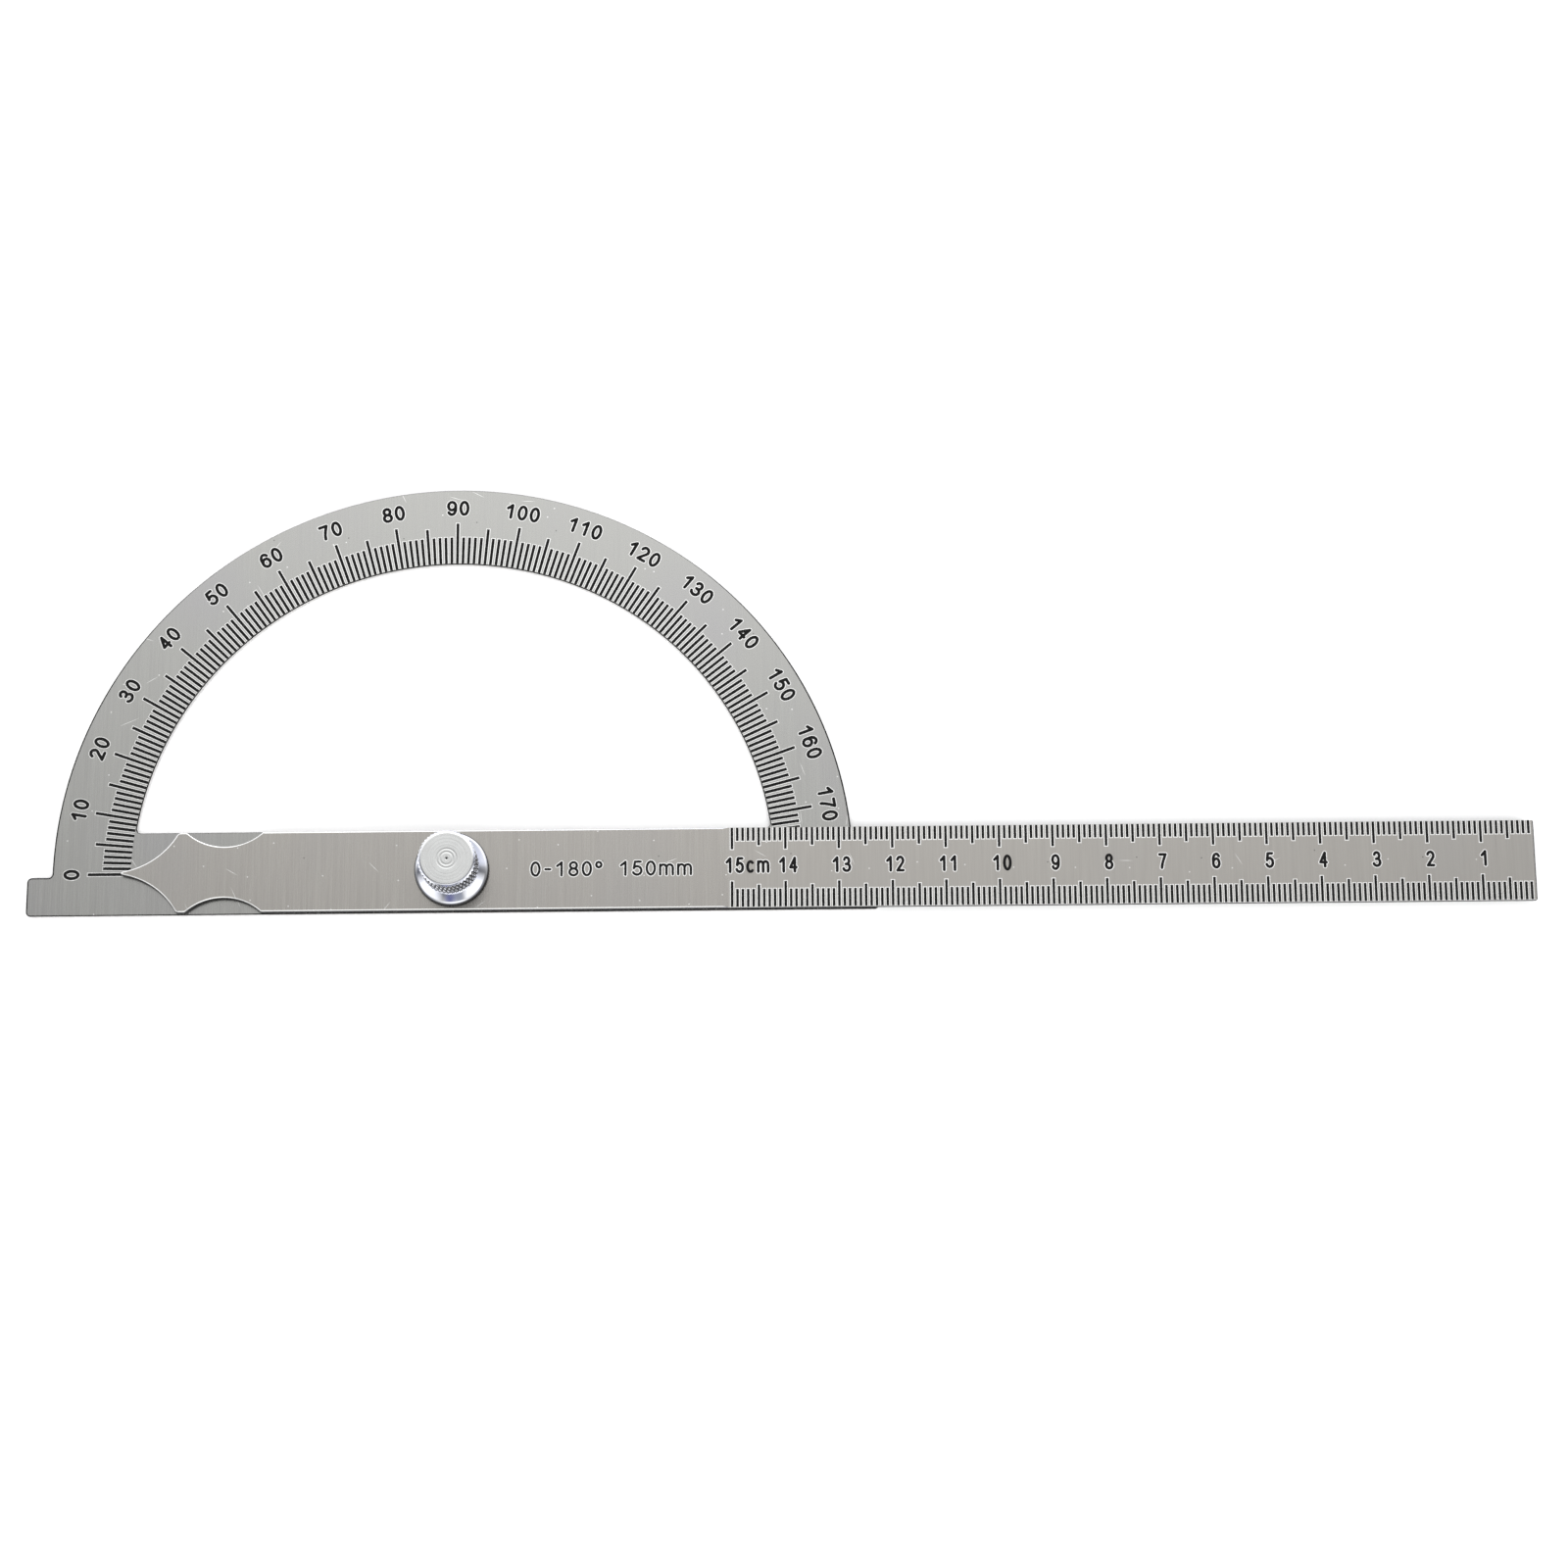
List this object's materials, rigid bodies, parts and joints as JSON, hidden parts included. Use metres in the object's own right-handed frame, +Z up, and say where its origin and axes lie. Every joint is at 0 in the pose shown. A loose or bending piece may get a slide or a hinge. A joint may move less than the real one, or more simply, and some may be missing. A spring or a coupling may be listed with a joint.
{
  "type": "protractor",
  "caption": "Semicircular steel protractor with a graduated dial, a pivoting pointed ruler arm and a knurled locking knob on a threaded stud.",
  "frame": {"origin": "on the pivot axis, at the underside of the plate, where the stud's head is flush", "axes": "+X along the ruler arm towards its square end, +Y from the base bar towards the semicircle, +Z up through the knob"},
  "size_m": [0.2822, 0.083, 0.0125],
  "materials": {
    "plate_steel": "stainless sheet, fine brushed grain across the base bar",
    "arm_steel": "stainless sheet, fine brushed grain across the arm",
    "stud_steel": "turned steel with a cut thread",
    "washer_steel": "plain stamped steel",
    "knob_chrome": "bright plated, turned top face, diamond knurl"
  },
  "bodies": {
    "base": {"protractor_plate": "plate_steel", "pivot_stud": "stud_steel"},
    "arm": {"ruler_arm": "arm_steel"},
    "washer": {"lock_washer": "washer_steel"},
    "knob": {"lock_knob": "knob_chrome"}
  },
  "joints": [
    {"name": "arm_swing", "type": "hinge", "parent": "base", "child": "arm", "pos_m": [0, 0, 0.00185], "axis": [0, 0, -1], "continuous": true},
    {"name": "knob_lift", "type": "slide", "parent": "base", "child": "washer", "axis": [0, 0, 1], "range_m": [0, 0.0056]},
    {"name": "knob_turn", "type": "hinge", "parent": "washer", "child": "knob", "pos_m": [0, 0, 0.00285], "axis": [0, 0, 1], "range_deg": [0, 2880]}
  ],
  "couplings": [
    {"joint": "knob_lift", "follows": "knob_turn", "m_per_rad": 0.00011141}
  ]
}
